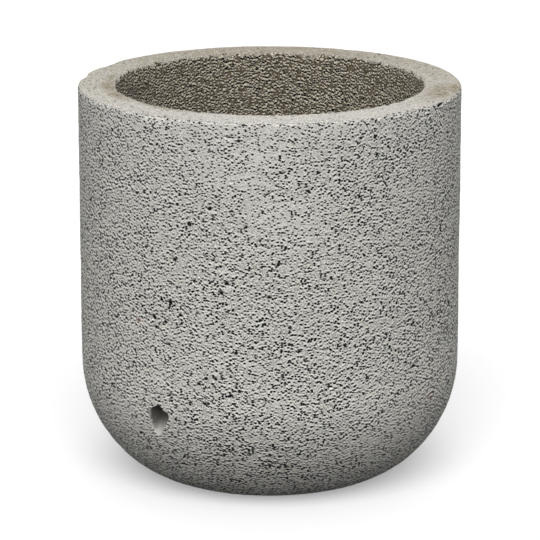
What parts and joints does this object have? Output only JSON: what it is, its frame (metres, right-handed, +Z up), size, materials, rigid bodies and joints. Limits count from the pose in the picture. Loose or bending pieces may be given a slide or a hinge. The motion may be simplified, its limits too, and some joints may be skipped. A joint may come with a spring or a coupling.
{
  "type": "planter",
  "caption": "Thick-walled round concrete floor planter with a flat rim, a wide rounded heel, a rubber drain bung and thin floor pads.",
  "frame": {"origin": "on the floor, on the pot's axis, at the underside of the floor pads", "axes": "+Z up along the pot's axis; -Y is the front, the side that faces the camera in the picture; +X is to the right seen from the front"},
  "size_m": [0.4, 0.4, 0.4145],
  "materials": {
    "concrete": "open-textured dry-cast concrete, rough and full of small pores, smoother on the rim",
    "rubber": "matt moulded rubber"
  },
  "bodies": {
    "planter": {"planter_shell": "concrete", "floor_pad_1": "rubber", "floor_pad_2": "rubber", "floor_pad_3": "rubber", "floor_pad_4": "rubber"},
    "plug": {"drain_plug": "rubber"}
  },
  "joints": [
    {"name": "drain_plug_lift", "type": "slide", "parent": "planter", "child": "plug", "axis": [0, 0, 1], "range_m": [0, 0.06]}
  ]
}
